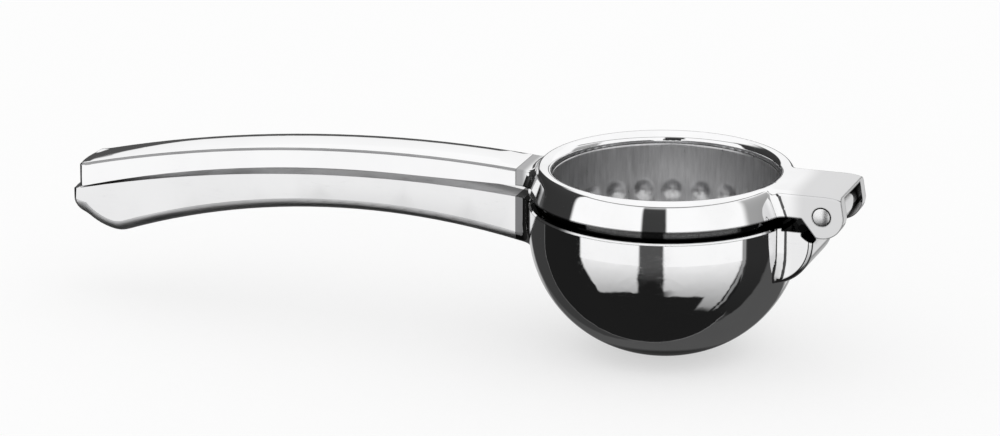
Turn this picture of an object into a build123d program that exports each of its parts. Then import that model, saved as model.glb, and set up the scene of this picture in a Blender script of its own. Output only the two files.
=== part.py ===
"""Hand citrus squeezer: two hinged levers that press half a fruit between a cup and a drained bowl.

The bowl's axis is the Z axis and the hinge lies on the +X side, with the handles towards -X.
Z is zero on the small flat under the bowl. Rises and drops are counted from the bowl's rim.
"""
from build123d import *
import math
import os

os.makedirs("parts", exist_ok=True)

# Bowl: a straight band, a round side that is a little fuller than a half ball, and a flatter base
bowl_radius = 37.0
bowl_wall = 2.2
bowl_band = 6.2
bowl_side_inset = 2.2
bowl_base_extra = 5.5
rest_radius = 4.3
rim_bevel = 0.5
drain_radius = 1.6
drain_ring_radii = (7.0, 12.0)
drain_counts = (6, 12)

# Press ring: the shares shape the roll of its side into its crest
ring_gap = 3.1
ring_side_run = 4.0
ring_side_flare = 0.375
ring_side_share = 0.86
ring_crest_share = 0.45
ring_crest_rise = 10.6
seat_wall = 2.2
seat_drop = 1.0

# Press cup
press_gap = 2.6
cup_wall = 1.6
cup_ledge = 0.6
cup_dome_drop = 2.0
dimple_radius = 2.2
nub_wall = 0.6
nub_depth = 1.0
nub_counts = (24, 16)
nub_drop_angles = (6.4, 27.0)
nub_turn = 96.0

# Handle bars
handle_width = 15.4
handle_stub = 3.2
handle_tip_corner = 4.5
handle_tip_bulge = 1.6
upper_reach = 132.8
lower_reach = 134.7
tip_gap = 0.35
crease_round = 0.7
belly_round = 3.2
heel_round = 8.0
handle_root_round = 4.2
heel_length = 14.8
heel_bulge = 1.6
tip_end_height = 2.0

# Arches of the bars in the side view: way from the bowl's side to the highest point, its rise, radius
upper_back_arch = (33.0, 8.8, 400.0)
upper_face_way = 38.0
lower_face_arch = (35.0, 1.2, 405.0)
lower_belly_arch = (45.0, -9.1, 215.0)

# Hinge, in offsets from its axis where it is the fork's or the lug's outline
hinge_reach = 9.7
hinge_rise = 4.0
fork_width = 22.6
fork_edge_round = 1.3
hinge_root_round = 3.2
plate_thickness = 0.9
ear_thickness = 3.4
ear_radius = 6.1
fork_bend = 1.0
fork_end_x = 5.2
fork_end_drop = 0.6
ear_heel = -5.5
ear_foot = -1.5
slot_back = -8.2
slot_corner = 2.5
slot_roof_bend = 1.5
slot_mouth_x = 7.0
knuckle_radius = 4.7
lug_top_drop = 0.8
lug_end = -2.3
lug_notch_wall = -5.5
lug_notch_clearance = 1.9
neck_outline = ((-4.5, -1.2), (-7.2, -4.4), (-9.0, -8.2), (-2.3, -8.6), (-2.3, -3.9))
lug_low = -20.2
lug_round = 12.2
side_clearance = 0.2
roof_clearance = 0.6
pin_radius = 2.3
pin_clearance = 0.06
pin_dome = 0.4
pin_hole_edge = 0.35

# Places and sizes that follow from those above
bowl_side_round = bowl_radius - bowl_side_inset
bowl_base_round = bowl_radius + bowl_base_extra
base_z = math.sqrt(bowl_base_round ** 2 - rest_radius ** 2)
base_over_side = math.sqrt((bowl_base_round - bowl_side_round) ** 2 - bowl_side_inset ** 2)
side_z = base_z - base_over_side
rim_z = side_z + bowl_band
bowl_inner = bowl_radius - bowl_wall
inner_z = bowl_wall + bowl_inner
skirt_z = rim_z + ring_gap
crest_z = rim_z + ring_crest_rise
ring_skirt_radius = bowl_radius
ring_crest_radius = ring_skirt_radius - ring_side_run
cup_outer_radius = bowl_inner - press_gap
cup_inner_radius = cup_outer_radius - cup_wall
ring_lip = ring_crest_radius - cup_inner_radius
cup_top_z = crest_z - ring_lip - cup_ledge
dome_z = rim_z - cup_dome_drop
hinge_x = bowl_radius + hinge_reach
hinge_z = rim_z + hinge_rise
slot_width = fork_width - 2 * ear_thickness
knuckle_width = slot_width - 2 * side_clearance
roof_over_axis = knuckle_radius + roof_clearance
fork_top_z = hinge_z + roof_over_axis + plate_thickness
fork_end = (fork_end_x, roof_over_axis + plate_thickness - fork_end_drop)
slot_mouth = (slot_mouth_x, fork_end[1] - plate_thickness)
notch_radius = ear_radius + lug_notch_clearance
handle_seam_x = -(bowl_radius + handle_stub)
upper_tip_x = -(bowl_radius + upper_reach)
lower_tip_x = -(bowl_radius + lower_reach)
heel_x = lower_tip_x + heel_length
root_x = -bowl_radius / 2
spare = 12.0
tiny = 0.01
from_start = (Align.CENTER, Align.CENTER, Align.MIN)


def arch_from(arch):
    """Arch as the place of its highest point, its rise and its radius."""
    return (-(bowl_radius + arch[0]), arch[1], arch[2])


def arch_z(arch, x):
    """Height of an arched edge at x."""
    top_x, rise, radius = arch
    return rim_z + rise - (radius - math.sqrt(radius ** 2 - (x - top_x) ** 2))


def arch_point(arch, x):
    """Point of an arched edge at x, in the side view."""
    return (x, arch_z(arch, x))


upper_back = arch_from(upper_back_arch)
lower_face = arch_from(lower_face_arch)
lower_belly = arch_from(lower_belly_arch)
upper_face_x = -(bowl_radius + upper_face_way)
tip_run = upper_face_x - upper_tip_x
tip_drop = skirt_z - arch_z(lower_face, upper_tip_x) - tip_gap
upper_face = (upper_face_x, ring_gap, (tip_run ** 2 + tip_drop ** 2) / (2 * tip_drop))


def from_hinge(offset):
    """Point of the side view given by its offset from the hinge axis."""
    return (hinge_x + offset[0], hinge_z + offset[1])


def bar_plan(tip_x):
    """Plan outline of a handle bar with a gently bowed, round-cornered tip."""
    shoulder_x = tip_x + handle_tip_bulge
    with BuildSketch() as plan:
        with BuildLine():
            near = Line((root_x, -handle_width / 2), (shoulder_x, -handle_width / 2))
            end = ThreePointArc(near @ 1, (tip_x, 0), (shoulder_x, handle_width / 2))
            far = Line(end @ 1, (root_x, handle_width / 2))
            Line(far @ 1, near @ 0)
        make_face()
        fillet(plan.vertices().group_by(Axis.X)[0], handle_tip_corner)
    return plan.sketch


def nub_places(count, drop_angle, way_out):
    """Planes that face out from the dome's centre at each nub of a row, a given way from the centre."""
    drop = math.radians(drop_angle)
    turns = [math.radians(nub_turn + 360 * (i + 0.5) / count) for i in range(count)]
    ways = [Vector(math.cos(drop) * math.cos(t), math.cos(drop) * math.sin(t), -math.sin(drop)) for t in turns]
    return [Plane(Vector(0, 0, dome_z) + way * way_out, z_dir=way) for way in ways]


# Lower handle bar, left tall until the lever is trimmed
with BuildPart() as lower_bar:
    with BuildSketch(Plane.XY):
        add(bar_plan(lower_tip_x))
    extrude(amount=rim_z + spare)
    with BuildSketch(Plane.XZ):
        with BuildLine():
            heel = arch_point(lower_belly, heel_x)
            tip_low = (lower_tip_x, arch_z(lower_face, lower_tip_x) - tip_end_height)
            heel_mid = ((heel[0] + tip_low[0]) / 2 - heel_bulge, (heel[1] + tip_low[1]) / 2 - heel_bulge)
            belly = ThreePointArc(
                arch_point(lower_belly, root_x), arch_point(lower_belly, lower_belly[0]), heel
            )
            rise = ThreePointArc(heel, heel_mid, tip_low)
            end = Line(rise @ 1, (lower_tip_x, rim_z + spare))
            top = Line(end @ 1, (root_x, rim_z + spare))
            Line(top @ 1, belly @ 0)
        make_face()
        fillet(vertices().sort_by_distance(heel)[0], heel_round)
    extrude(amount=handle_width, both=True, mode=Mode.INTERSECT)
    low_edges = [
        e for e in edges()
        if e.center().Z < rim_z + lower_belly[1] and abs(e.center().Y) > tiny and e.geom_type != GeomType.LINE
    ]
    fillet(low_edges, belly_round)

# Upper handle bar, left deep until the lever is trimmed
with BuildPart() as upper_bar:
    with BuildSketch(Plane.XY.offset(rim_z - 2 * spare)):
        add(bar_plan(upper_tip_x))
    extrude(amount=4 * spare)
    with BuildSketch(Plane.XZ):
        with BuildLine():
            back = ThreePointArc(
                arch_point(upper_back, root_x),
                arch_point(upper_back, upper_back[0]),
                arch_point(upper_back, upper_tip_x),
            )
            end = Line(back @ 1, (upper_tip_x, rim_z - 2 * spare))
            under = Line(end @ 1, (root_x, rim_z - 2 * spare))
            Line(under @ 1, back @ 0)
        make_face()
    extrude(amount=handle_width, both=True, mode=Mode.INTERSECT)
    back_face = faces().sort_by(Axis.Z)[-1]
    back_edges = [e for e in back_face.edges() if e.center().X < root_x - tiny]
    fillet(back_edges, crease_round)

# Bowl outside as a solid, left tall until the lever is trimmed
with BuildPart() as bowl_blank:
    with BuildSketch(Plane.YZ):
        with BuildLine():
            lean = bowl_base_round / (bowl_base_round - bowl_side_round)
            base_end = (bowl_side_inset * lean, base_z - base_over_side * lean)
            slope = bowl_side_round * math.sqrt(0.5)
            flat = Line((0, 0), (rest_radius, 0))
            base = RadiusArc(flat @ 1, base_end, -bowl_base_round)
            side = ThreePointArc(
                base @ 1, (bowl_side_inset + slope, side_z - slope), (bowl_radius, side_z)
            )
            band = Line(side @ 1, (bowl_radius, rim_z + spare))
            top = Line(band @ 1, (0, rim_z + spare))
            Line(top @ 1, flat @ 0)
        make_face()
    revolve(axis=Axis.Z)

# Lower hinge lug, without its notch and knuckle
with BuildPart() as lug_blank:
    with BuildSketch(Plane.XZ):
        with BuildLine():
            wall = Line((hinge_x + lug_end, rim_z + spare), from_hinge((lug_end, lug_low + lug_round)))
            foot = TangentArc(wall @ 1, from_hinge((lug_end - lug_round, lug_low)), tangent=wall % 1)
            inner = Line(foot @ 1, (-root_x, hinge_z + lug_low))
            back = Line(inner @ 1, (-root_x, rim_z + spare))
            Line(back @ 1, wall @ 0)
        make_face()
    extrude(amount=fork_width / 2, both=True)
    outer_edges = [
        e for e in edges()
        if abs(e.center().Y) > tiny and e.center().X > -root_x + tiny and e.center().Z < rim_z + spare - tiny
    ]
    fillet(outer_edges, fork_edge_round)

# What the lower lever loses above its handle's face, the bowl's rim and the lug's top
with BuildPart() as lower_trim:
    with BuildSketch(Plane.XZ):
        with BuildLine():
            far_x = lower_tip_x - spare
            inside = bowl_radius - bowl_wall / 2
            face = ThreePointArc(
                arch_point(lower_face, far_x),
                arch_point(lower_face, lower_face[0]),
                arch_point(lower_face, -inside),
            )
            step_up = Line(face @ 1, (-inside, rim_z))
            rim = Line(step_up @ 1, (inside, rim_z))
            step_down = Line(rim @ 1, (inside, rim_z - lug_top_drop))
            lug_top = Line(step_down @ 1, (hinge_x + spare, rim_z - lug_top_drop))
            right = Line(lug_top @ 1, (hinge_x + spare, rim_z + 2 * spare))
            top = Line(right @ 1, (far_x, rim_z + 2 * spare))
            Line(top @ 1, face @ 0)
        make_face()
    extrude(amount=2 * bowl_radius, both=True)
    with BuildSketch(Plane.XY):
        Circle(bowl_radius)
    extrude(amount=rim_z, mode=Mode.SUBTRACT)

with BuildPart() as lower_lever:
    add(bowl_blank.part)
    add(lower_bar.part)
    fillet(edges(Select.NEW), handle_root_round)
    add(lug_blank.part)
    fillet(edges(Select.NEW), hinge_root_round)
    add(lower_trim.part, mode=Mode.SUBTRACT)

with BuildPart() as lower_handle:
    add(lower_lever.part)
    split(bisect_by=Plane.YZ.offset(handle_seam_x), keep=Keep.BOTTOM)

# Bowl with the handle's stub and the hinge lug, hollowed and drained
with BuildPart() as strainer_bowl:
    add(lower_lever.part)
    split(bisect_by=Plane.YZ.offset(handle_seam_x), keep=Keep.TOP)
    with BuildSketch(Plane.YZ):
        with BuildLine():
            slope = bowl_inner * math.sqrt(0.5)
            ball = ThreePointArc((0, bowl_wall), (slope, inner_z - slope), (bowl_inner, inner_z))
            band = Line(ball @ 1, (bowl_inner, rim_z + spare))
            top = Line(band @ 1, (0, rim_z + spare))
            Line(top @ 1, ball @ 0)
        make_face()
    revolve(axis=Axis.Z, mode=Mode.SUBTRACT)
    with BuildSketch(Plane.YZ):
        with BuildLine():
            Polyline(
                (bowl_radius, rim_z - rim_bevel),
                (bowl_radius, rim_z),
                (bowl_radius - rim_bevel, rim_z),
                close=True,
            )
        make_face()
        with BuildLine():
            Polyline(
                (bowl_inner, rim_z - rim_bevel),
                (bowl_inner, rim_z),
                (bowl_inner + rim_bevel, rim_z),
                close=True,
            )
        make_face()
    revolve(axis=Axis.Z, mode=Mode.SUBTRACT)
    with BuildSketch(Plane.XY):
        for count, ring_radius in zip(drain_counts, drain_ring_radii):
            with PolarLocations(ring_radius, count):
                Circle(drain_radius)
    extrude(amount=bowl_radius / 2, mode=Mode.SUBTRACT)
    with BuildSketch(Plane.XZ):
        with BuildLine():
            wall_low = -math.sqrt(notch_radius ** 2 - lug_notch_wall ** 2)
            end_low = -math.sqrt(notch_radius ** 2 - lug_end ** 2)
            notch_side = Line(from_hinge((lug_notch_wall, 0)), from_hinge((lug_notch_wall, wall_low)))
            notch = RadiusArc(notch_side @ 1, from_hinge((lug_end, end_low)), -notch_radius)
            notch_end = Line(notch @ 1, from_hinge((spare, end_low)))
            right = Line(notch_end @ 1, from_hinge((spare, 0)))
            Line(right @ 1, notch_side @ 0)
        make_face()
    extrude(amount=fork_width, both=True, mode=Mode.SUBTRACT)
    with BuildSketch(Plane.XZ):
        with Locations(from_hinge((0, 0))):
            Circle(knuckle_radius)
        with BuildLine():
            Polyline([from_hinge(p) for p in neck_outline], close=True)
        make_face()
    extrude(amount=knuckle_width / 2, both=True)
    with BuildSketch(Plane.XZ):
        with Locations(from_hinge((0, 0))):
            Circle(pin_radius + pin_clearance)
    extrude(amount=fork_width, both=True, mode=Mode.SUBTRACT)

# Ring outside as a solid, left deep until the lever is trimmed
with BuildPart() as ring_blank:
    with BuildSketch(Plane.YZ):
        with BuildLine():
            foot = (ring_skirt_radius + ring_side_flare * ring_gap, rim_z)
            side_pull = ring_side_share * ring_crest_rise
            low = Line((0, rim_z), foot)
            side = Bezier(
                foot,
                (foot[0] - ring_side_flare * side_pull, rim_z + side_pull),
                (ring_crest_radius + ring_crest_share * ring_side_run, crest_z),
                (ring_crest_radius, crest_z),
            )
            top = Line(side @ 1, (0, crest_z))
            Line(top @ 1, low @ 0)
        make_face()
    revolve(axis=Axis.Z)

# Hinge fork, solid and deep until the lever is trimmed
with BuildPart() as fork_blank:
    with BuildSketch(Plane.XZ):
        with BuildLine():
            top = Line((-root_x, fork_top_z), (hinge_x + fork_bend, fork_top_z))
            bend = TangentArc(top @ 1, from_hinge(fork_end), tangent=(1, 0))
            end = Line(bend @ 1, from_hinge((ear_radius, 0)))
            deep = Line(end @ 1, (hinge_x + ear_radius, rim_z - spare))
            low = Line(deep @ 1, (-root_x, rim_z - spare))
            Line(low @ 1, top @ 0)
        make_face()
    extrude(amount=fork_width / 2, both=True)
    top_edges = [
        e for e in edges()
        if e.center().Z > hinge_z + fork_end[1] + tiny and abs(e.center().Y) > tiny
    ]
    fillet(top_edges, fork_edge_round)

# What the upper lever loses under its handle's face, the ring's skirt and the ears
with BuildPart() as upper_trim:
    with BuildSketch(Plane.XZ):
        with BuildLine():
            far_x = upper_tip_x - spare
            low_z = rim_z - 4 * spare
            face = ThreePointArc(
                arch_point(upper_face, far_x),
                arch_point(upper_face, (far_x + upper_face[0]) / 2),
                arch_point(upper_face, upper_face[0]),
            )
            skirt = Line(face @ 1, (hinge_x + ear_heel, skirt_z))
            ear_foot_z = -math.sqrt(ear_radius ** 2 - ear_foot ** 2)
            heel_line = Line(skirt @ 1, from_hinge((ear_foot, ear_foot_z)))
            slope = ear_radius * math.sqrt(0.5)
            ear = ThreePointArc(heel_line @ 1, from_hinge((slope, -slope)), from_hinge((ear_radius, 0)))
            out = Line(ear @ 1, from_hinge((spare, 0)))
            right = Line(out @ 1, (hinge_x + spare, low_z))
            low = Line(right @ 1, (far_x, low_z))
            Line(low @ 1, face @ 0)
        make_face()
    extrude(amount=2 * bowl_radius, both=True)

with BuildPart() as upper_lever:
    add(ring_blank.part)
    add(upper_bar.part)
    fillet([e for e in edges(Select.NEW) if e.center().Z > rim_z + tiny], handle_root_round)
    add(fork_blank.part)
    fillet([e for e in edges(Select.NEW) if e.center().Z > rim_z + tiny], hinge_root_round)
    add(upper_trim.part, mode=Mode.SUBTRACT)

with BuildPart() as upper_handle:
    add(upper_lever.part)
    split(bisect_by=Plane.YZ.offset(handle_seam_x), keep=Keep.BOTTOM)

# Press ring with the handle's stub and the hinge fork, bored for the cup and slotted for the knuckle
with BuildPart() as press_ring:
    add(upper_lever.part)
    split(bisect_by=Plane.YZ.offset(handle_seam_x), keep=Keep.TOP)
    with BuildSketch(Plane.YZ):
        with Locations(((cup_outer_radius + seat_wall / 2), skirt_z)):
            Rectangle(seat_wall, 2 * (ring_gap + seat_drop))
    revolve(axis=Axis.Z)
    with BuildSketch(Plane.YZ):
        with BuildLine():
            slope = ring_lip * math.sqrt(0.5)
            axis_top = Line((0, rim_z - spare), (0, crest_z + spare))
            top = Line(axis_top @ 1, (ring_crest_radius, crest_z + spare))
            drop = Line(top @ 1, (ring_crest_radius, crest_z))
            lip_arc = ThreePointArc(
                drop @ 1,
                (ring_crest_radius - slope, crest_z - ring_lip + slope),
                (cup_inner_radius, crest_z - ring_lip),
            )
            throat = Line(lip_arc @ 1, (cup_inner_radius, cup_top_z))
            ledge = Line(throat @ 1, (cup_outer_radius, cup_top_z))
            seat = Line(ledge @ 1, (cup_outer_radius, rim_z - spare))
            Line(seat @ 1, axis_top @ 0)
        make_face()
    revolve(axis=Axis.Z, mode=Mode.SUBTRACT)
    with BuildSketch(Plane.XZ):
        with BuildLine():
            back = Line(from_hinge((slot_back, -2 * spare)), from_hinge((slot_back, roof_over_axis)))
            roof = Line(back @ 1, from_hinge((slot_roof_bend, roof_over_axis)))
            brow = Line(roof @ 1, from_hinge(slot_mouth))
            front = Line(brow @ 1, from_hinge((slot_mouth[0], -2 * spare)))
            Line(front @ 1, back @ 0)
        make_face()
        fillet(vertices().sort_by_distance(from_hinge((slot_back, roof_over_axis)))[0], slot_corner)
    extrude(amount=slot_width / 2, both=True, mode=Mode.SUBTRACT)
    with BuildSketch(Plane.XZ):
        with Locations(from_hinge((0, 0))):
            Circle(pin_radius)
    extrude(amount=fork_width, both=True, mode=Mode.SUBTRACT)
    hole_edges = [
        e for e in edges().filter_by(GeomType.CIRCLE)
        if abs(e.radius - pin_radius) < tiny and abs(e.center().Y) > fork_width / 2 - tiny
    ]
    chamfer(hole_edges, pin_hole_edge)

# Press cup: a domed shell whose rows of dimples stand out as grip nubs
with BuildPart() as press_cup:
    with BuildSketch(Plane.YZ):
        with BuildLine():
            slope = cup_outer_radius * math.sqrt(0.5)
            dome = ThreePointArc(
                (0, dome_z - cup_outer_radius), (slope, dome_z - slope), (cup_outer_radius, dome_z)
            )
            wall = Line(dome @ 1, (cup_outer_radius, cup_top_z))
            top = Line(wall @ 1, (0, cup_top_z))
            Line(top @ 1, dome @ 0)
        make_face()
    revolve(axis=Axis.Z)
    for count, drop_angle in zip(nub_counts, nub_drop_angles):
        with Locations(*nub_places(count, drop_angle, cup_outer_radius - cup_wall)):
            Cylinder(dimple_radius + nub_wall, cup_wall + nub_depth, align=from_start)
    with BuildSketch(Plane.YZ):
        with BuildLine():
            slope = cup_inner_radius * math.sqrt(0.5)
            dome = ThreePointArc(
                (0, dome_z - cup_inner_radius), (slope, dome_z - slope), (cup_inner_radius, dome_z)
            )
            wall = Line(dome @ 1, (cup_inner_radius, rim_z + spare))
            top = Line(wall @ 1, (0, rim_z + spare))
            Line(top @ 1, dome @ 0)
        make_face()
    revolve(axis=Axis.Z, mode=Mode.SUBTRACT)
    for count, drop_angle in zip(nub_counts, nub_drop_angles):
        with Locations(*nub_places(count, drop_angle, cup_inner_radius - cup_wall)):
            Cylinder(dimple_radius, cup_wall + nub_depth, align=from_start, mode=Mode.SUBTRACT)

# Hinge pin: a plain shaft with domed ends
with BuildPart() as hinge_pin:
    with BuildSketch(Plane((hinge_x, 0, hinge_z), x_dir=(0, 1, 0), z_dir=(1, 0, 0))):
        with BuildLine():
            half = fork_width / 2
            shaft = Line((-half, pin_radius), (half, pin_radius))
            ball = (pin_radius ** 2 + pin_dome ** 2) / (2 * pin_dome)
            far_end = RadiusArc(shaft @ 1, (half + pin_dome, 0), ball)
            axis_line = Line(far_end @ 1, (-half - pin_dome, 0))
            RadiusArc(axis_line @ 1, shaft @ 0, ball)
        make_face()
    revolve(axis=Axis((hinge_x, 0, hinge_z), (0, 1, 0)))

pieces = {
    "upper_handle": upper_handle,
    "press_ring": press_ring,
    "press_cup": press_cup,
    "lower_handle": lower_handle,
    "strainer_bowl": strainer_bowl,
    "hinge_pin": hinge_pin,
}
for name, piece in pieces.items():
    piece.part.label = name
    export_step(piece.part, f"parts/{name}.step")
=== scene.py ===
"""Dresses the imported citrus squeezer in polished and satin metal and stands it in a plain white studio.

Sizes are in metres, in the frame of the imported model: the bowl's axis is Z, the hinge lies towards +X
and the handles towards -X. Angles are in degrees.
"""
import logging
import math
from dataclasses import dataclass, field
from enum import Enum

import bmesh
import bpy
from mathutils import Matrix, Vector


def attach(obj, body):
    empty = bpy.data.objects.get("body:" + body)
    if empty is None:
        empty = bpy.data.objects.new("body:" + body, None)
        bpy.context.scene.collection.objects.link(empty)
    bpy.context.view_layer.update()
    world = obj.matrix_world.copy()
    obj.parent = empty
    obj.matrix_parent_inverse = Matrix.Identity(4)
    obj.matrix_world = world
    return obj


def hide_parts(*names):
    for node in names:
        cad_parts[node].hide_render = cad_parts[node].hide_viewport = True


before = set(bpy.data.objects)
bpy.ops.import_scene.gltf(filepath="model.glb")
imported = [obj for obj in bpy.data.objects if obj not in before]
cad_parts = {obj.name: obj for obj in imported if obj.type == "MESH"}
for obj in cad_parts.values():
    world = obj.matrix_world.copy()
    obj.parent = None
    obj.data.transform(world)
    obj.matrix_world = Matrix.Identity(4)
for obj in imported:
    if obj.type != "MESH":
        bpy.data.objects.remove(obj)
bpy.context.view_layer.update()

LOG = logging.getLogger("citrus_squeezer")
MM = 0.001
CAMERA_HEADING = 19.0

FULL_TURN = 360.0
NOISE_MEAN = 0.5
COOLNESS = 0.005

Socket = bpy.types.NodeSocket
Source = Socket | float
Span = tuple[float, float]
Triple = tuple[float, float, float]
Colour = Triple


def cool_grey(tone: float) -> Colour:
    """Gives a grey that is a trace bluer than neutral."""
    return (tone, tone, tone + COOLNESS)


class Effect(Enum):
    """Shared node groups."""

    SMEAR = "handling_smears"
    HAIRLINE = "hairline_scratches"
    STREAK = "drawn_streaks"
    END_SHADE = "end_haze"
    EDGE = "edge_wear"
    GRIME_AND_SHADE = "crevice_residue"
    PATCH = "surround_patch"


class Lever(Enum):
    """The two bodies that pieces ride on."""

    UPPER = "upper_lever"
    LOWER = "lower_lever"


@dataclass
class Wiring:
    """Adds and joins nodes in one node tree.

    Attributes:
        tree: The node tree.
    """

    tree: bpy.types.NodeTree

    def add(self, kind: str) -> bpy.types.Node:
        """Adds a node of the given kind."""
        return self.tree.nodes.new(kind)

    def feed(self, target: Socket, source: Source) -> None:
        """Joins a socket to another, or sets it.

        Args:
            target: The input socket.
            source: The output socket that feeds it, or a plain number.
        """
        if isinstance(source, Socket):
            self.tree.links.new(source, target)
        else:
            target.default_value = source

    def math(self, operation: str, *sources: Source, clamp: bool = False) -> Socket:
        """Adds a Math node.

        Args:
            operation: Name of the operation.
            sources: What it works on.
            clamp: Whether the result is kept between 0 and 1.

        Returns:
            The result's socket.
        """
        node = self.add("ShaderNodeMath")
        node.operation = operation
        node.use_clamp = clamp
        for target, source in zip(node.inputs, sources):
            self.feed(target, source)
        return node.outputs["Value"]

    def remap(
        self, value: Source, span: tuple[Source, Source], to: tuple[Source, Source], smooth: bool = False
    ) -> Socket:
        """Adds a Map Range node.

        Args:
            value: What is mapped.
            span: Where the value starts and ends.
            to: What the start and the end become.
            smooth: Whether the way between them is eased.

        Returns:
            The result's socket.
        """
        node = self.add("ShaderNodeMapRange")
        node.interpolation_type = "SMOOTHSTEP" if smooth else "LINEAR"
        for name, source in zip(("Value", "From Min", "From Max", "To Min", "To Max"), (value, *span, *to)):
            self.feed(node.inputs[name], source)
        return node.outputs["Result"]

    def noise(self, place: Socket, scale: Source, detail: float, roughness: float) -> Socket:
        """Adds a Noise Texture.

        Args:
            place: Where on the surface it is read.
            scale: How fine it is.
            detail: How many finer layers it has.
            roughness: How strong these are.

        Returns:
            The socket of its value.
        """
        node = self.add("ShaderNodeTexNoise")
        node.inputs["Detail"].default_value = detail
        node.inputs["Roughness"].default_value = roughness
        self.feed(node.inputs["Vector"], place)
        self.feed(node.inputs["Scale"], scale)
        return node.outputs["Fac"]

    def blend(self, share: Socket, under: Colour | Socket, over: Colour) -> Socket:
        """Blends a colour over another.

        Args:
            share: How much of the upper colour shows.
            under: The lower colour.
            over: The upper colour.

        Returns:
            The blended colour.
        """
        node = self.add("ShaderNodeMix")
        node.data_type = "RGBA"
        self.feed(node.inputs["Factor"], share)
        if isinstance(under, tuple):
            node.inputs["A"].default_value = (*under, 1.0)
        else:
            self.feed(node.inputs["A"], under)
        node.inputs["B"].default_value = (*over, 1.0)
        return node.outputs["Result"]

    def object_place(self) -> Socket:
        """Gives the socket of the object's own coordinates."""
        return self.add("ShaderNodeTexCoord").outputs["Object"]

    def stretched(self, place: Socket, turn: Triple, scale: Triple) -> Socket:
        """Turns and stretches coordinates.

        Args:
            place: The coordinates.
            turn: Turn about X, Y and Z.
            scale: Scale along X, Y and Z.

        Returns:
            The socket of the new coordinates.
        """
        node = self.add("ShaderNodeMapping")
        node.inputs["Rotation"].default_value = [math.radians(angle) for angle in turn]
        node.inputs["Scale"].default_value = scale
        self.feed(node.inputs["Vector"], place)
        return node.outputs["Vector"]

    def bump(self, height: Socket, strength: float, depth: float) -> Socket:
        """Adds a Bump node.

        Args:
            height: Where the surface is high.
            strength: How strongly the bump shows.
            depth: How deep it is.

        Returns:
            The socket of the new normal.
        """
        node = self.add("ShaderNodeBump")
        node.inputs["Strength"].default_value = strength
        node.inputs["Distance"].default_value = depth
        self.feed(node.inputs["Height"], height)
        return node.outputs["Normal"]


@dataclass
class SharedGroup:
    """A shader node group with plain value sockets.

    Attributes:
        effect: Which group it is.
        inputs: Input sockets with their default values.
        output: Name of its output socket.
    """

    effect: Effect
    inputs: dict[str, float]
    output: str

    def start(self) -> tuple[Wiring, dict[str, Socket], Socket]:
        """Makes the empty group.

        Returns:
            Its wiring, its input sockets by name and the socket that takes its result.
        """
        tree = bpy.data.node_groups.new(self.effect.value, "ShaderNodeTree")
        for name, value in self.inputs.items():
            socket = tree.interface.new_socket(name, in_out="INPUT", socket_type="NodeSocketFloat")
            socket.default_value = value
        tree.interface.new_socket(self.output, in_out="OUTPUT", socket_type="NodeSocketFloat")
        entry = tree.nodes.new("NodeGroupInput")
        leave = tree.nodes.new("NodeGroupOutput")
        return Wiring(tree), {name: entry.outputs[name] for name in self.inputs}, leave.inputs[self.output]


def smear_group() -> bpy.types.NodeTree:
    """Builds the group for faint handling smears: a slow uneven mask.

    Returns:
        The node group.
    """
    wiring, given, result = SharedGroup(Effect.SMEAR, {"Scale": 40.0}, "Mask").start()
    bare, smeared = 0.38, 0.7
    slow = wiring.noise(wiring.object_place(), given["Scale"], detail=5.0, roughness=0.6)
    wiring.feed(result, wiring.remap(slow, (bare, smeared), (0.0, 1.0), smooth=True))
    return wiring.tree


def hairline_group() -> bpy.types.NodeTree:
    """Builds the group for hairline scratches from cleaning: thin broken lines in three directions.

    Returns:
        The node group.
    """
    wiring, given, result = SharedGroup(Effect.HAIRLINE, {"Scale": 1.0, "Width": 0.012}, "Line").start()
    directions = ((20.0, 35.0, 15.0), (-40.0, 10.0, 75.0), (65.0, -25.0, 130.0))
    stretch = (30.0, 700.0, 700.0)
    absent, present = 0.5, 0.66
    place = wiring.object_place()
    lines = None
    for turn in directions:
        drawn = wiring.stretched(place, turn, stretch)
        uneven = wiring.noise(drawn, given["Scale"], detail=1.0, roughness=0.4)
        ridge = wiring.math("ABSOLUTE", wiring.math("SUBTRACT", uneven, NOISE_MEAN))
        line = wiring.remap(ridge, (0.0, given["Width"]), (1.0, 0.0), smooth=True)
        lines = line if lines is None else wiring.math("MAXIMUM", lines, line)
    patchy = wiring.noise(place, scale=90.0, detail=3.0, roughness=0.6)
    broken = wiring.remap(patchy, (absent, present), (0.0, 1.0), smooth=True)
    wiring.feed(result, wiring.math("MULTIPLY", lines, broken))
    return wiring.tree


def streak_group() -> bpy.types.NodeTree:
    """Builds the group for the fine upright streaks that drawing leaves on a round wall.

    Returns:
        The node group, whose result lies between 0 and 1.
    """
    sockets = {"Around": 60.0, "Along": 2.0, "Contrast": 1.0}
    wiring, given, result = SharedGroup(Effect.STREAK, sockets, "Streak").start()
    split = wiring.add("ShaderNodeSeparateXYZ")
    wiring.feed(split.inputs["Vector"], wiring.object_place())
    turn = wiring.math("ARCTAN2", split.outputs["Y"], split.outputs["X"])
    join = wiring.add("ShaderNodeCombineXYZ")
    wiring.feed(join.inputs["X"], wiring.math("MULTIPLY", turn, given["Around"]))
    wiring.feed(join.inputs["Y"], wiring.math("MULTIPLY", split.outputs["Z"], given["Along"]))
    grain = wiring.noise(join.outputs["Vector"], scale=1.0, detail=4.0, roughness=0.65)
    uneven = wiring.math("SUBTRACT", grain, NOISE_MEAN)
    wiring.feed(result, wiring.math("MULTIPLY_ADD", uneven, given["Contrast"], NOISE_MEAN, clamp=True))
    return wiring.tree


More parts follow.
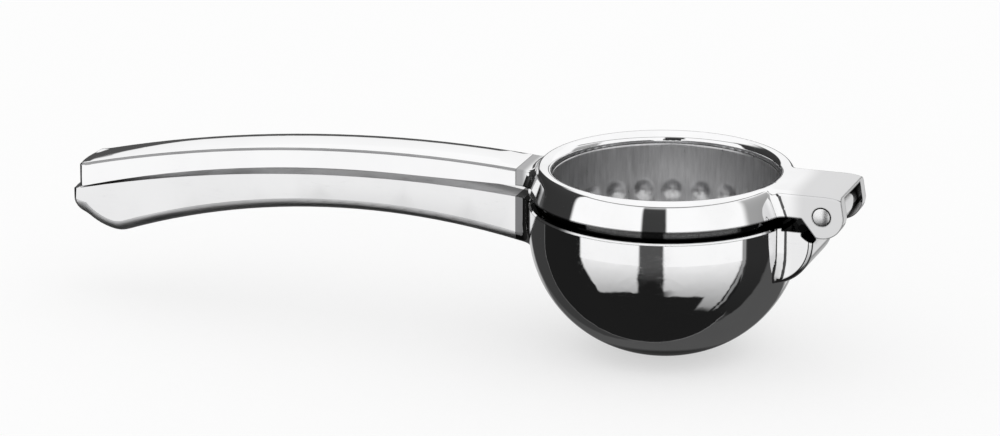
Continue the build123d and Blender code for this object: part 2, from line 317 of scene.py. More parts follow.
def end_shade_group() -> bpy.types.NodeTree:
    """Builds the group for painted shade that changes along the part.

    Returns:
        The node group, whose result goes from 0 at Start to 1 at End, along X.
    """
    wiring, given, result = SharedGroup(Effect.END_SHADE, {"Start": 0.0, "End": 1.0}, "End Shade").start()
    split = wiring.add("ShaderNodeSeparateXYZ")
    wiring.feed(split.inputs["Vector"], wiring.object_place())
    span = (given["Start"], given["End"])
    wiring.feed(result, wiring.remap(split.outputs["X"], span, (0.0, 1.0), smooth=True))
    return wiring.tree


def edge_outline_shade_group() -> bpy.types.NodeTree:
    """Builds the group for painted shade along sharp edges, a dark outline.

    Returns:
        The node group, whose result is 1 on an edge darkened by painted shade.
    """
    wiring, given, result = SharedGroup(Effect.EDGE, {"Width": 0.5 * MM}, "Outline Shade").start()
    edge_match, flat_match = 0.94, 0.99
    rounded = wiring.add("ShaderNodeBevel")
    rounded.samples = 8
    wiring.feed(rounded.inputs["Radius"], given["Width"])
    surface = wiring.add("ShaderNodeNewGeometry")
    match = wiring.add("ShaderNodeVectorMath")
    match.operation = "DOT_PRODUCT"
    wiring.feed(match.inputs[0], rounded.outputs["Normal"])
    wiring.feed(match.inputs[1], surface.outputs["Normal"])
    wiring.feed(result, wiring.remap(match.outputs["Value"], (edge_match, flat_match), (1.0, 0.0)))
    return wiring.tree


def grime_and_shade_group() -> bpy.types.NodeTree:
    """Builds the group for grime and painted shade in narrow gaps and inner corners, from ambient
    occlusion.

    Returns:
        The node group, whose result is 1 where the grime and painted shade are thickest.
    """
    sockets = {"Distance": 8.0 * MM, "Darkest Openness": 0.6, "Clean": 0.86}
    wiring, given, result = SharedGroup(Effect.GRIME_AND_SHADE, sockets, "Grime And Shade").start()
    openness = wiring.add("ShaderNodeAmbientOcclusion")
    openness.samples = 16
    wiring.feed(openness.inputs["Distance"], given["Distance"])
    span = (given["Darkest Openness"], given["Clean"])
    wiring.feed(result, wiring.remap(openness.outputs["AO"], span, (1.0, 0.0), smooth=True))
    return wiring.tree


def patch_group() -> bpy.types.NodeTree:
    """Builds the group that lays one soft-edged light or dark patch over the surround.

    Returns:
        The node group, whose result is how light the surround is with the patch.
    """
    sockets = (
        "Base", "Turn", "Rise", "Middle", "Half", "Drift", "Spread", "Low", "High",
        "Soft Turn", "Soft Rise", "Tone Low", "Tone High",
    )
    wiring, given, result = SharedGroup(Effect.PATCH, {name: 0.0 for name in sockets}, "Level").start()

    def eased(value: Source, edge: Source, soft: Source, to: Span) -> Socket:
        """Eases from one number to another across a soft edge."""
        span = (wiring.math("SUBTRACT", edge, soft), wiring.math("ADD", edge, soft))
        return wiring.remap(value, span, to, smooth=True)

    below_top = wiring.math("SUBTRACT", given["High"], given["Rise"])
    middle = wiring.math("MULTIPLY_ADD", below_top, given["Drift"], given["Middle"])
    half = wiring.math("MULTIPLY_ADD", below_top, given["Spread"], given["Half"])
    aside = wiring.math("SUBTRACT", given["Turn"], middle)
    aside = wiring.math("WRAP", aside, FULL_TURN / 2, -FULL_TURN / 2)
    across = eased(wiring.math("ABSOLUTE", aside), half, given["Soft Turn"], (1.0, 0.0))
    above = eased(given["Rise"], given["Low"], given["Soft Rise"], (0.0, 1.0))
    below = eased(given["Rise"], given["High"], given["Soft Rise"], (1.0, 0.0))
    cover = wiring.math("MULTIPLY", wiring.math("MULTIPLY", across, above), below)
    heights = (given["Low"], given["High"])
    tone = wiring.remap(given["Rise"], heights, (given["Tone Low"], given["Tone High"]))
    change = wiring.math("SUBTRACT", tone, given["Base"])
    wiring.feed(result, wiring.math("MULTIPLY_ADD", cover, change, given["Base"]))
    return wiring.tree


GROUPS = {
    Effect.SMEAR: smear_group(),
    Effect.HAIRLINE: hairline_group(),
    Effect.STREAK: streak_group(),
    Effect.END_SHADE: end_shade_group(),
    Effect.EDGE: edge_outline_shade_group(),
    Effect.GRIME_AND_SHADE: grime_and_shade_group(),
    Effect.PATCH: patch_group(),
}


def place_group(wiring: Wiring, effect: Effect, values: dict[str, Source]) -> Socket:
    """Places a shared node group in a material.

    Args:
        wiring: The material's wiring.
        effect: Which group.
        values: Sockets or numbers for the group's inputs.

    Returns:
        The socket of the group's result.
    """
    node = wiring.add("ShaderNodeGroup")
    node.node_tree = GROUPS[effect]
    for socket, value in values.items():
        wiring.feed(node.inputs[socket], value)
    return node.outputs[0]


def start_material(name: str) -> tuple[bpy.types.Material, Wiring, bpy.types.Node]:
    """Starts a node material.

    Args:
        name: Name of the material.

    Returns:
        The material, its wiring and its Principled BSDF node.
    """
    material = bpy.data.materials.new(name)
    material.use_nodes = True
    return material, Wiring(material.node_tree), material.node_tree.nodes["Principled BSDF"]


def finish_mesh(name: str, mesh: bmesh.types.BMesh, smooth: bool = False) -> bpy.types.Object:
    """Turns a bmesh into an object at the origin.

    Args:
        name: Name of the object.
        mesh: The bmesh, which is freed.
        smooth: Whether its faces are shaded smooth.

    Returns:
        The object, linked to the scene.
    """
    for face in mesh.faces:
        face.smooth = smooth
    data = bpy.data.meshes.new(name)
    mesh.to_mesh(data)
    mesh.free()
    thing = bpy.data.objects.new(name, data)
    bpy.context.scene.collection.objects.link(thing)
    return thing


@dataclass(frozen=True)
class PolishedMetal:
    """Mirror-polished plating with faint smears and hairlines, and where asked painted shade at its ends,
    along sharp edges and in gaps.

    Attributes:
        name: Name of the material.
        clean: Colour of the clean metal.
        dull: Colour under a smear.
        smear_scale: How fine the smears are.
        gloss: Roughness of the clean metal and under a smear.
        line_scale: How fine the hairlines are.
        line_width: How wide a hairline is.
        scratched: Roughness that a hairline adds.
        ripple: Depth of the slow ripples that polishing by hand leaves.
        ripple_scale: How fine these ripples are.
        crevice: How near another wall has to be for grime and painted shade to darken the metal, or 0 for
            none.
        grime_and_shade_openness: Openness at which the grime and painted shade make the metal darkest, and
            at which it is clean.
        ends: Spans along X over which painted shade darkens the metal, and its colour past each.
        outline: How far painted shade darkens the metal beside a sharp edge, as a dark outline, or 0 for
            not at all.
        outline_shade: Colour of the painted dark outline along a sharp edge.
        grime_and_shade_tone: Colour of the thickest grime and painted shade.
    """

    name: str
    clean: Colour = cool_grey(0.94)
    dull: Colour = cool_grey(0.89)
    smear_scale: float = 45.0
    gloss: Span = (0.025, 0.055)
    line_scale: float = 1.0
    line_width: float = 0.012
    scratched: float = 0.12
    ripple: float = 0.0015 * MM
    ripple_scale: float = 55.0
    crevice: float = 8.0 * MM
    grime_and_shade_openness: Span = (0.6, 0.86)
    ends: dict[Span, Colour] = field(default_factory=dict)
    outline: float = 0.0
    outline_shade: Colour = (0.2, 0.2, 0.2)
    grime_and_shade_tone: Colour = (0.015, 0.015, 0.015)

    def material(self) -> bpy.types.Material:
        """Builds the material.

        Returns:
            The finished material.
        """
        material, wiring, shader = start_material(self.name)
        shader.inputs["Metallic"].default_value = 1.0
        smear = place_group(wiring, Effect.SMEAR, {"Scale": self.smear_scale})
        line = place_group(wiring, Effect.HAIRLINE, {"Scale": self.line_scale, "Width": self.line_width})
        surface = wiring.blend(smear, self.clean, self.dull)
        # Painted shade: the metal turns darker towards its ends along X.
        for (start, end), colour in self.ends.items():
            end_shade_mask = place_group(wiring, Effect.END_SHADE, {"Start": start, "End": end})
            surface = wiring.blend(end_shade_mask, surface, colour)
        # Painted shade: a dark outline along the sharp edges.
        if self.outline > 0:
            outline_shade = place_group(wiring, Effect.EDGE, {"Width": self.outline})
            surface = wiring.blend(outline_shade, surface, self.outline_shade)
        # Grime and painted shade: the metal is darker where ambient occlusion finds another wall near, in
        # gaps and inner corners.
        if self.crevice > 0:
            darkest_openness, clean = self.grime_and_shade_openness
            gap = {"Distance": self.crevice, "Darkest Openness": darkest_openness, "Clean": clean}
            surface = wiring.blend(place_group(wiring, Effect.GRIME_AND_SHADE, gap), surface, self.grime_and_shade_tone)
        wiring.feed(shader.inputs["Base Color"], surface)
        gloss = wiring.remap(smear, (0.0, 1.0), self.gloss)
        wiring.feed(shader.inputs["Roughness"], wiring.math("MULTIPLY_ADD", line, self.scratched, gloss))
        ripples = wiring.noise(wiring.object_place(), self.ripple_scale, detail=1.0, roughness=0.4)
        wiring.feed(shader.inputs["Normal"], wiring.bump(ripples, 1.0, self.ripple))
        return material


@dataclass(frozen=True)
class SatinMetal:
    """Satin metal with fine upright streaks round the Z axis.

    Attributes:
        name: Name of the material.
        dark: Colour in the darker streaks.
        light: Colour in the lighter streaks.
        roughness: Lowest and highest roughness.
        streaks: How many streaks go round, for each radian.
        along: How often a streak changes up the wall, for each metre.
        contrast: How far the streaks differ.
        relief: How strongly the streaks show as bumps.
        relief_depth: Depth of these bumps.
    """

    name: str
    dark: Colour = cool_grey(0.46)
    light: Colour = cool_grey(0.74)
    roughness: Span = (0.24, 0.4)
    streaks: float = 22.0
    along: float = 90.0
    contrast: float = 1.7
    relief: float = 0.15
    relief_depth: float = 0.1 * MM

    def material(self) -> bpy.types.Material:
        """Builds the material.

        Returns:
            The finished material.
        """
        material, wiring, shader = start_material(self.name)
        shader.inputs["Metallic"].default_value = 1.0
        drawn = {"Around": self.streaks, "Along": self.along, "Contrast": self.contrast}
        streak = place_group(wiring, Effect.STREAK, drawn)
        wiring.feed(shader.inputs["Base Color"], wiring.blend(streak, self.dark, self.light))
        wiring.feed(shader.inputs["Roughness"], wiring.remap(streak, (0.0, 1.0), self.roughness))
        wiring.feed(shader.inputs["Normal"], wiring.bump(streak, self.relief, self.relief_depth))
        return material


def dress(node: str, material: bpy.types.Material) -> None:
    """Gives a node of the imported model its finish.

    Args:
        node: Name of the node.
        material: The finish.
    """
    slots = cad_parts[node].data.materials
    slots.clear()
    slots.append(material)
    LOG.info("dressed %s in %s", node, material.name)


class BarFinish(Enum):
    """Places of a handle bar's finishes in its list of materials."""

    POLISHED = 0
    EDGE = 1
    UNDERSIDE = 2


def eased_step(share: float) -> float:
    """Eases a share from 0 to 1 with level ends."""
    share = min(max(share, 0.0), 1.0)
    return share * share * (3 - 2 * share)


@dataclass
class HandleBar:
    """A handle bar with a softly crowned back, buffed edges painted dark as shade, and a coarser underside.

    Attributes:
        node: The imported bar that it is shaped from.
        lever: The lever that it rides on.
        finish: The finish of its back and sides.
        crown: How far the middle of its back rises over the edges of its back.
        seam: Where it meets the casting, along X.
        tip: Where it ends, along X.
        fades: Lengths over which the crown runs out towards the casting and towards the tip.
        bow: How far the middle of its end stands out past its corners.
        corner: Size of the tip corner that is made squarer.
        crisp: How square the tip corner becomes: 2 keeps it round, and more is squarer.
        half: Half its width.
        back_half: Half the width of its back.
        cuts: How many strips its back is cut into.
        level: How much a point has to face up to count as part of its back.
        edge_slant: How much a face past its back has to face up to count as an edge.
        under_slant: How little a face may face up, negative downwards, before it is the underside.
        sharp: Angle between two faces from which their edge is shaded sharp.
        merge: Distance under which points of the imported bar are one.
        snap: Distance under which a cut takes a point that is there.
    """

    node: str
    lever: Lever
    finish: PolishedMetal
    crown: float
    tip: float
    seam: float = -40.2 * MM
    fades: Span = (6.0 * MM, 34.0 * MM)
    bow: float = 1.4 * MM
    corner: float = 3.6 * MM
    crisp: float = 7.0
    half: float = 7.7 * MM
    back_half: float = 7.0 * MM
    cuts: int = 12
    level: float = 0.9
    edge_slant: float = 0.1
    under_slant: float = -0.04
    sharp: float = 35.0
    merge: float = 0.002 * MM
    snap: float = 0.001 * MM

    def shape(self) -> bmesh.types.BMesh:
        """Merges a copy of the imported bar, crowns its back and squares its tip corners.

        Returns:
            The bar's mesh.
        """
        mesh = bmesh.new()
        mesh.from_mesh(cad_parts[self.node].data)
        bmesh.ops.remove_doubles(mesh, verts=mesh.verts, dist=self.merge)
        for cut in range(1, self.cuts):
            across = self.back_half * (2 * cut / self.cuts - 1)
            bmesh.ops.bisect_plane(
                mesh,
                geom=mesh.verts[:] + mesh.edges[:] + mesh.faces[:],
                dist=self.snap,
                plane_co=(0, across, 0),
                plane_no=(0, 1, 0),
            )
        mesh.normal_update()
        seam_fade, tip_fade = self.fades
        for vert in mesh.verts:
            if vert.normal.z > self.level and abs(vert.co.y) < self.back_half:
                ease = eased_step((self.seam - vert.co.x) / seam_fade)
                ease *= eased_step((vert.co.x - self.tip) / tip_fade)
                vert.co.z += self.crown * ease * (1 - (vert.co.y / self.back_half) ** 2)
            self.square_corner(vert)
        mesh.normal_update()
        return mesh

    def square_corner(self, vert: bmesh.types.BMVert) -> None:
        """Moves a point of the round tip corner outwards, towards a squarer one.

        Args:
            vert: The point.
        """
        out = (self.tip + self.bow + self.corner - vert.co.x) / self.corner
        aside = (abs(vert.co.y) - self.half + self.corner) / self.corner
        if out <= 0 or aside <= 0:
            return
        stretch = math.hypot(out, aside) / (out ** self.crisp + aside ** self.crisp) ** (1 / self.crisp)
        vert.co.x -= (stretch - 1) * out * self.corner
        vert.co.y += math.copysign((stretch - 1) * aside * self.corner, vert.co.y)

    def build(self, shared: list[bpy.types.Material]) -> bpy.types.Object:
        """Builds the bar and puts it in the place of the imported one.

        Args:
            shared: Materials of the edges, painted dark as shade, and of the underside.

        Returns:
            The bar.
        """
        mesh = self.shape()
        for face in mesh.faces:
            aside = abs(face.calc_center_median().y)
            finish = BarFinish.POLISHED
            if face.normal.z < self.under_slant:
                finish = BarFinish.UNDERSIDE
            elif face.normal.z > self.edge_slant and aside > self.back_half:
                finish = BarFinish.EDGE
            face.material_index = finish.value
        for edge in mesh.edges:
            edge.smooth = edge.calc_face_angle(0.0) < math.radians(self.sharp)
        bar = finish_mesh(self.node + "_bar", mesh, smooth=True)
        for material in [self.finish.material(), *shared]:
            bar.data.materials.append(material)
        even = bar.modifiers.new("even_shading", "WEIGHTED_NORMAL")
        even.keep_sharp = True
        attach(bar, self.lever.value)
        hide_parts(self.node)
        LOG.info("built %s with %d faces", bar.name, len(bar.data.polygons))
        return bar


@dataclass
class Levers:
    """The two levers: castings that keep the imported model's own shapes, and their handle bars.

    Attributes:
        castings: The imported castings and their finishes.
        bars: The handle bars.
    """

    castings: dict[str, PolishedMetal] = field(default_factory=lambda: {
        "press_ring": PolishedMetal("ring_plating", outline=0.7 * MM, ends={
            # Painted shade: greyer towards the hinge, dark at the handle root.
            (36.5 * MM, 42.0 * MM): cool_grey(0.68),
            (-36.2 * MM, -38.4 * MM): cool_grey(0.36),
        }),
        "strainer_bowl": PolishedMetal("bowl_plating", outline=0.5 * MM, ends={
            # Painted shade: lightly greyer towards the hinge, darkest at the handle root.
            (37.2 * MM, 39.0 * MM): cool_grey(0.83),
            (-37.1 * MM, -38.2 * MM): cool_grey(0.2),
        }),
    })
    bars: tuple[HandleBar, ...] = (
        HandleBar(
            "upper_handle",
            Lever.UPPER,
            PolishedMetal("upper_bar_plating", dull=cool_grey(0.92), crevice=0.0),
            crown=1.0 * MM,
            tip=-169.8 * MM,
        ),
        HandleBar(
            "lower_handle",
            Lever.LOWER,
            # Painted shade: the lower bar is a darker copy of the upper bar's plating.
            PolishedMetal("lower_bar_shaded_plating", clean=cool_grey(0.84), dull=cool_grey(0.82), crevice=0.0),
            crown=0.0,
            tip=-171.7 * MM,
        ),
    )

    def build(self, edge: PolishedMetal, underside: PolishedMetal) -> None:
        """Polishes the castings and builds the bars.

        Args:
            edge: The finish of the bars' edges, buffed and painted dark as shade.
            underside: The finish of the bars' undersides.
        """
        for node, finish in self.castings.items():
            dress(node, finish.material())
        shared = [edge.material(), underside.material()]
        for bar in self.bars:
            bar.build(shared)


@dataclass
class PressCup:
    """The satin insert, a domed shell with rows of soft round dimples that stand out as nubs below.

    Attributes:
        inner: Radius inside.
        wall: Thickness of the wall.
        top: Height of the upper edge.
        dome: Height of the dome's centre.
        dimple: Radius of a dimple.
        depth: Depth of a dimple.
        softness: How softly a dimple runs into the wall.
        counts: How many dimples each row has.
        drops: Angle of each row under the dome's centre.
        start: Azimuth from which each row is counted.
        steps: How many steps go round.
        row: Height of a row of faces.
        merge: Distance under which points are one.
    """

    inner: float = 30.6 * MM
    wall: float = 1.6 * MM
    top: float = 48.703 * MM
    dome: float = 39.103 * MM
    dimple: float = 2.9 * MM
    depth: float = 1.0 * MM
    softness: float = 1.5
    counts: tuple[int, ...] = (24, 16)
    drops: tuple[float, ...] = (6.4, 27.0)
    start: float = 96.0
    steps: int = 288
    row: float = 0.65 * MM
    merge: float = 0.01 * MM

    def arc(
        self, mesh: bmesh.types.BMesh, start: bmesh.types.BMVert, angle: float, radius: float
    ) -> bmesh.types.BMVert:
        """Draws a part of a circle round the dome's centre.

        Args:
            mesh: The mesh that it is drawn in.
            start: Where it starts.
            angle: How far it turns about Y.
            radius: Its radius.

        Returns:
            Its last vertex.
        """
        steps = round(math.radians(abs(angle)) * radius / self.row)
        spun = bmesh.ops.spin(
            mesh,
            geom=[start],
            cent=(0, 0, self.dome),
            axis=(0, 1, 0),
            angle=math.radians(angle),
            steps=steps,
        )
        return spun["geom_last"][0]

    def line(self, mesh: bmesh.types.BMesh, start: bmesh.types.BMVert, way: Vector) -> bmesh.types.BMVert:
        """Draws a straight line in short runs.

        Args:
            mesh: The mesh that it is drawn in.
            start: Where it starts.
            way: Its length and direction.

        Returns:
            Its last vertex.
        """
        runs = math.ceil(way.length / self.row)
        last = start
        for _ in range(runs):
            last = bmesh.ops.extrude_vert_indiv(mesh, verts=[last])["verts"][0]
            bmesh.ops.translate(mesh, verts=[last], vec=way / runs)
        return last

    def press(self, mesh: bmesh.types.BMesh) -> None:
        """Presses the rows of dimples outwards.

        Args:
            mesh: The plain cup.
        """
        centre = Vector((0, 0, self.dome))
        for vert in mesh.verts:
            way = (vert.co - centre).normalized()
            radius = (vert.co - centre).length
            turn = math.degrees(math.atan2(way.y, way.x))
            for count, drop in zip(self.counts, self.drops):
                pitch = FULL_TURN / count
                middle = math.radians(self.start + pitch * (math.floor((turn - self.start) / pitch) + 0.5))
                low = math.radians(drop)
                level = math.cos(low)
                out = Vector((level * math.cos(middle), level * math.sin(middle), -math.sin(low)))
                share = way.angle(out, math.pi) * radius / self.dimple
                if share < 1:
                    vert.co += out * self.depth * (1 - share ** 2) ** self.softness

    def build(self, finish: SatinMetal) -> bpy.types.Object:
        """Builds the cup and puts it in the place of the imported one.

        Args:
            finish: The satin metal.

        Returns:
            The cup.
        """
        mesh = bmesh.new()
        outer = self.inner + self.wall
        quarter = FULL_TURN / 4
        rise = Vector((0, 0, self.top - self.dome))
        last = mesh.verts.new((0, 0, self.dome - self.inner))
        last = self.arc(mesh, last, -quarter, self.inner)
        last = self.line(mesh, last, rise)
        last = self.line(mesh, last, Vector((self.wall, 0, 0)))
        last = self.line(mesh, last, -rise)
        self.arc(mesh, last, quarter, outer)
        bmesh.ops.spin(
            mesh,
            geom=mesh.verts[:] + mesh.edges[:],
            cent=(0, 0, 0),
            axis=(0, 0, 1),
            angle=math.tau,
            steps=self.steps,
            use_merge=True,
        )
        bmesh.ops.remove_doubles(mesh, verts=mesh.verts, dist=self.merge)
        bmesh.ops.recalc_face_normals(mesh, faces=mesh.faces)
        self.press(mesh)
        cup = finish_mesh("press_cup_dimpled", mesh, smooth=True)
        cup.data.materials.append(finish.material())
        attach(cup, Lever.UPPER.value)
        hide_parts("press_cup")
        LOG.info("built %s with %d faces", cup.name, len(cup.data.polygons))
        return cup


@dataclass(frozen=True)
class Patch:
    """A soft-edged light or dark area of the surround that polished metal mirrors.

    Attributes:
        turn: First and last azimuth, counted from the camera's heading, positive to the picture's right.
        rise: Lowest and highest elevation.
        tones: How light it is at the lowest and at the highest elevation.
        soft: Half the width of its soft edges, sideways and upwards.
        lean: How far its left and right sides move for each degree below its top.
    """

    turn: Span
    rise: Span
    tones: Span
    soft: Span = (1.5, 1.5)
    lean: Span = (0.0, 0.0)


@dataclass
class Studio:
    """A plain pale floor, an even white sky, and a lining of soft boxes and flags for the metal to mirror.

    Attributes:
        floor_size: Side of the floor.
        floor_drop: How far the floor lies under the bowl.
        floor_tone: How light the floor's own colour is.
        floor_glow: How much the floor glows, so that shadows on it stay faint.
        sky: Brightness of the sky.
        lining_radius: Radius of the lining.
        lining_steps: How often the lining's faces are split.
        outer_tone: How light the lining is below, where nothing else is.
        outer: Light and dark areas behind the object, under the dark half, each laid over those before it.
        front_way: Middle of the dark half of the lining, as forward, right and up from the heading.
        front_tone: How light that half is.
        seam: Half the width of the light line round that half, and how light the line is.
        front: Light and dark areas over the whole lining, each laid over those before it.
    """

    floor_size: float = 12.0
    floor_drop: float = 0.1 * MM
    floor_tone: float = 0.4
    floor_glow: float = 0.58
    sky: float = 1.0
    lining_radius: float = 6.0
    lining_steps: int = 4
    outer_tone: float = 0.045
    outer: dict[str, Patch] = field(default_factory=lambda: {
        "behind": Patch(turn=(97, 205), rise=(-100, 5.5), tones=(0.083, 0.083), soft=(2, 1)),
        "behind_light": Patch(turn=(118, 158), rise=(-27, 6), tones=(0.75, 0.75), soft=(3, 2)),
        "behind_edge": Patch(turn=(-200, -158), rise=(-27, -17), tones=(0.25, 0.65), soft=(3, 2)),
    })
    front_way: Triple = (0.848, -0.463, -0.259)
    front_tone: float = 0.0125
    seam: Span = (0.011, 0.13)
    front: dict[str, Patch] = field(default_factory=lambda: {
        "overhead": Patch(turn=(-400, 400), rise=(0, 100), tones=(1.03, 1.03), soft=(1, 2)),
        "high_gap": Patch(turn=(-115, 115), rise=(35.5, 40), tones=(0.2, 0.2), soft=(6, 1)),
        "behind_high": Patch(turn=(150, 215), rise=(5.5, 34), tones=(0.93, 1.0), soft=(5, 1)),
        "behind_low": Patch(turn=(110, 215), rise=(-3, 5.5), tones=(0.083, 0.083), soft=(3, 1)),
        "end_light": Patch(turn=(118, 158), rise=(-10, 6), tones=(0.75, 0.75), soft=(3, 2)),
        "box_left": Patch(
            turn=(-77, -23), rise=(-43, -16), tones=(0.42, 0.92), soft=(1.5, 1), lean=(0.27, -0.2)
        ),
        "box_left_high": Patch(turn=(-77, -23), rise=(-18.5, 8), tones=(1.0, 1.05), soft=(1.5, 1.5)),
        "box_right": Patch(
            turn=(-3, 66), rise=(-46.5, -16), tones=(0.42, 0.92), soft=(1.5, 1), lean=(0.02, -0.17)
        ),
        "box_right_cut": Patch(turn=(-14, 2), rise=(-60, -41), tones=(0.0125, 0.0125), soft=(9, 1.5)),
        "box_right_high": Patch(turn=(-3, 66), rise=(-18.5, 8), tones=(1.0, 1.05), soft=(1.5, 1.5)),
        "box_right_foot": Patch(
            turn=(40, 62), rise=(-58, -42), tones=(0.25, 0.5), soft=(1.5, 3), lean=(-0.1, -0.12)
        ),
        "gap": Patch(turn=(-23, -4), rise=(-31, 0), tones=(0.033, 0.15), soft=(1.5, 2)),
        "flag_right": Patch(turn=(71, 96), rise=(-58, 0), tones=(0.016, 0.03), soft=(1, 3)),
        "seam_right": Patch(
            turn=(66.8, 70.0), rise=(-57, -14), tones=(0.2, 0.3), soft=(0.8, 2), lean=(-0.08, -0.08)
        ),
        "gap_high": Patch(turn=(-22, -1), rise=(0, 34), tones=(0.022, 0.06), soft=(1.5, 6)),
        "left_high": Patch(turn=(-158, -87), rise=(-3, 42), tones=(0.03, 0.05), soft=(2, 6)),
        "right_high": Patch(turn=(70, 108), rise=(-3, 30), tones=(0.22, 0.5), soft=(4, 6)),
    })

    def light(self) -> None:
        """Lights the studio with an even white sky."""
        world = bpy.data.worlds.new("studio_sky")
        world.use_nodes = True
        back = world.node_tree.nodes["Background"]
        back.inputs["Color"].default_value = (1.0, 1.0, 1.0, 1.0)
        back.inputs["Strength"].default_value = self.sky
        bpy.context.scene.world = world

    def floor(self) -> None:
        """Lays the plain pale floor."""
        mesh = bmesh.new()
        bmesh.ops.create_grid(mesh, x_segments=1, y_segments=1, size=self.floor_size / 2)
        bmesh.ops.translate(mesh, verts=mesh.verts, vec=(0, 0, -self.floor_drop))
        floor = finish_mesh("studio_floor", mesh)
        material, _, shader = start_material("pale_floor")
        shader.inputs["Base Color"].default_value = (self.floor_tone, self.floor_tone, self.floor_tone, 1.0)
        shader.inputs["Emission Color"].default_value = (1.0, 1.0, 1.0, 1.0)
        shader.inputs["Emission Strength"].default_value = self.floor_glow
        shader.inputs["Roughness"].default_value = 1.0
        shader.inputs["Specular IOR Level"].default_value = 0.0
        floor.data.materials.append(material)
        floor.visible_glossy = False

    def lay(
        self, wiring: Wiring, level: Source, patches: dict[str, Patch], turn: Source, rise: Source
    ) -> Source:
        """Lays patches over the lining.

        Args:
            wiring: Wiring of the lining's material.
            level: How light the lining is so far.
            patches: The patches, in order.
            turn: Azimuth from the camera's heading.
            rise: Elevation.

        Returns:
            How light the lining is with the patches.
        """
        for patch in patches.values():
            level = place_group(wiring, Effect.PATCH, {
                "Base": level,
                "Turn": turn,
                "Rise": rise,
                "Middle": sum(patch.turn) / 2,
                "Half": (patch.turn[1] - patch.turn[0]) / 2,
                "Drift": sum(patch.lean) / 2,
                "Spread": (patch.lean[1] - patch.lean[0]) / 2,
                "Low": patch.rise[0],
                "High": patch.rise[1],
                "Soft Turn": patch.soft[0],
                "Soft Rise": patch.soft[1],
                "Tone Low": patch.tones[0],
                "Tone High": patch.tones[1],
            })
        return level

    def lining_material(self) -> bpy.types.Material:
        """Builds the lining's glow from its patches.

        Returns:
            The finished material.
        """
        material, wiring, shader = start_material("studio_lining")
        way = wiring.add("ShaderNodeVectorMath")
        way.operation = "NORMALIZE"
        turned = wiring.stretched(wiring.object_place(), turn=(0, 0, -CAMERA_HEADING), scale=(1, 1, 1))
        wiring.feed(way.inputs[0], turned)
        split = wiring.add("ShaderNodeSeparateXYZ")
        wiring.feed(split.inputs["Vector"], way.outputs["Vector"])
        ahead = wiring.math("MULTIPLY", split.outputs["Y"], -1.0)
        turn = wiring.math("DEGREES", wiring.math("ARCTAN2", split.outputs["X"], ahead))
        rise = wiring.math("DEGREES", wiring.math("ARCSINE", split.outputs["Z"]))
        forward, right, up = self.front_way
        facing = wiring.math("MULTIPLY", ahead, forward)
        facing = wiring.math("MULTIPLY_ADD", split.outputs["X"], right, facing)
        facing = wiring.math("MULTIPLY_ADD", split.outputs["Z"], up, facing)
        width, glint = self.seam
        level = self.lay(wiring, self.outer_tone, self.outer, turn, rise)
        inside = wiring.remap(facing, (-width, width), (0.0, 1.0), smooth=True)
        change = wiring.math("SUBTRACT", self.front_tone, level)
        level = wiring.math("MULTIPLY_ADD", inside, change, level)
        line = wiring.remap(wiring.math("ABSOLUTE", facing), (0.0, width), (glint, 0.0), smooth=True)
        level = self.lay(wiring, wiring.math("ADD", level, line), self.front, turn, rise)
        shader.inputs["Base Color"].default_value = (0.0, 0.0, 0.0, 1.0)
        shader.inputs["Specular IOR Level"].default_value = 0.0
        shader.inputs["Emission Strength"].default_value = 1.0
        wiring.feed(shader.inputs["Emission Color"], level)
        material.cycles.emission_sampling = "NONE"
        return material

    def lining(self) -> None:
        """Hangs the lining, which only mirrors see."""
        mesh = bmesh.new()
        bmesh.ops.create_icosphere(mesh, subdivisions=self.lining_steps, radius=self.lining_radius)
        lining = finish_mesh("studio_lining", mesh)
        lining.data.materials.append(self.lining_material())
        lining.visible_camera = False
        lining.visible_diffuse = False
        lining.visible_shadow = False

    def build(self) -> None:
        """Sets up the whole studio."""
        self.light()
        self.floor()
        self.lining()
        LOG.info("studio set up with %d patches", len(self.outer) + len(self.front))


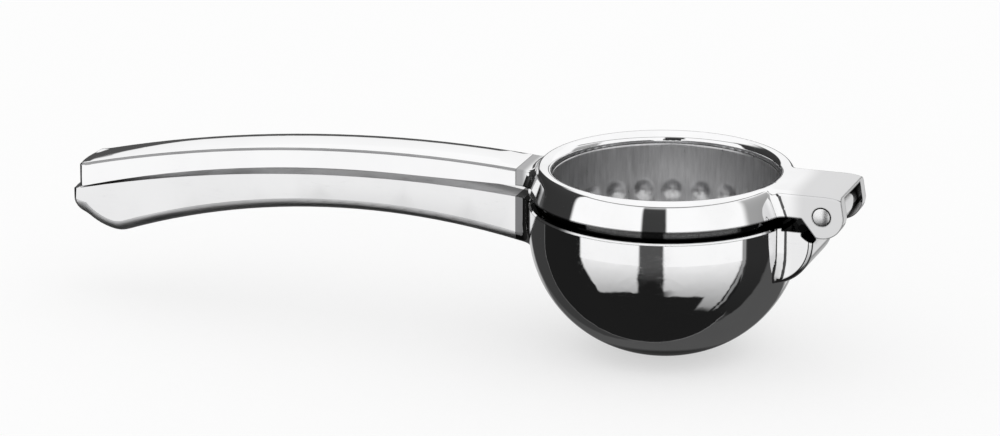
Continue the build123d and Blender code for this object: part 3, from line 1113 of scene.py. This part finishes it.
@dataclass
class PhotoCamera:
    """The photograph's camera, in the photograph's own frame of pixels.

    Attributes:
        azimuth: Turn from the -Y side towards +X.
        elevation: Height over the floor.
        distance: Way to the middle of the bowl's rim.
        focal: Focal length in pixels.
        target: The middle of the bowl's rim.
        seen_at: Pixel where the camera sees the target.
        size: Width and height of the frame in pixels.
        sensor: Width of the sensor in millimetres.
        reach: Nearest and farthest distance that it sees.
    """

    azimuth: float = CAMERA_HEADING
    elevation: float = 17.5
    distance: float = 1.4
    focal: float = 5187.0
    target: Vector = field(default_factory=lambda: Vector((0, 0, 41.103 * MM)))
    seen_at: Span = (665.4, 202.7)
    size: Span = (1000.0, 436.0)
    sensor: float = 36.0
    reach: Span = (0.05, 50.0)

    def build(self) -> None:
        """Places the camera and makes it the scene's."""
        turn, lift = math.radians(self.azimuth), math.radians(self.elevation)
        ahead = Vector((-math.sin(turn) * math.cos(lift), math.cos(turn) * math.cos(lift), -math.sin(lift)))
        right = Vector((math.cos(turn), math.sin(turn), 0))
        above = right.cross(ahead)
        across = (self.seen_at[0] - self.size[0] / 2) / self.focal
        down = (self.seen_at[1] - self.size[1] / 2) / self.focal
        place = self.target - (across * right - down * above + ahead) * self.distance
        data = bpy.data.cameras.new("photo_camera")
        data.sensor_width = self.sensor
        data.lens = self.focal / self.size[0] * self.sensor
        data.clip_start, data.clip_end = self.reach
        camera = bpy.data.objects.new("photo_camera", data)
        axes = Matrix((right, above, -ahead)).transposed().to_4x4()
        camera.matrix_world = Matrix.Translation(place) @ axes
        bpy.context.scene.collection.objects.link(camera)
        bpy.context.scene.camera = camera


def main() -> None:
    """Builds the pieces, dresses them and sets up the studio."""
    logging.basicConfig(level=logging.INFO, format="%(name)s: %(message)s")
    bpy.context.scene.view_settings.view_transform = "Standard"
    # Buffed edges: rougher metal whose dark colour is painted shade along the bars' creases.
    edge = PolishedMetal(
        "buffed_edge_painted_shade", clean=cool_grey(0.36), dull=cool_grey(0.3), gloss=(0.12, 0.2), crevice=0.0
    )
    underside = PolishedMetal(
        "coarse_underside", clean=cool_grey(0.8), dull=cool_grey(0.7), gloss=(0.34, 0.42), crevice=0.0
    )
    Levers().build(edge, underside)
    PressCup().build(SatinMetal("satin_cup"))
    pin = PolishedMetal("pin_plating", clean=cool_grey(0.85), gloss=(0.24, 0.32), crevice=0.0)
    dress("hinge_pin", pin.material())
    Studio().build()
    PhotoCamera().build()


if __name__ == "__main__":
    main()
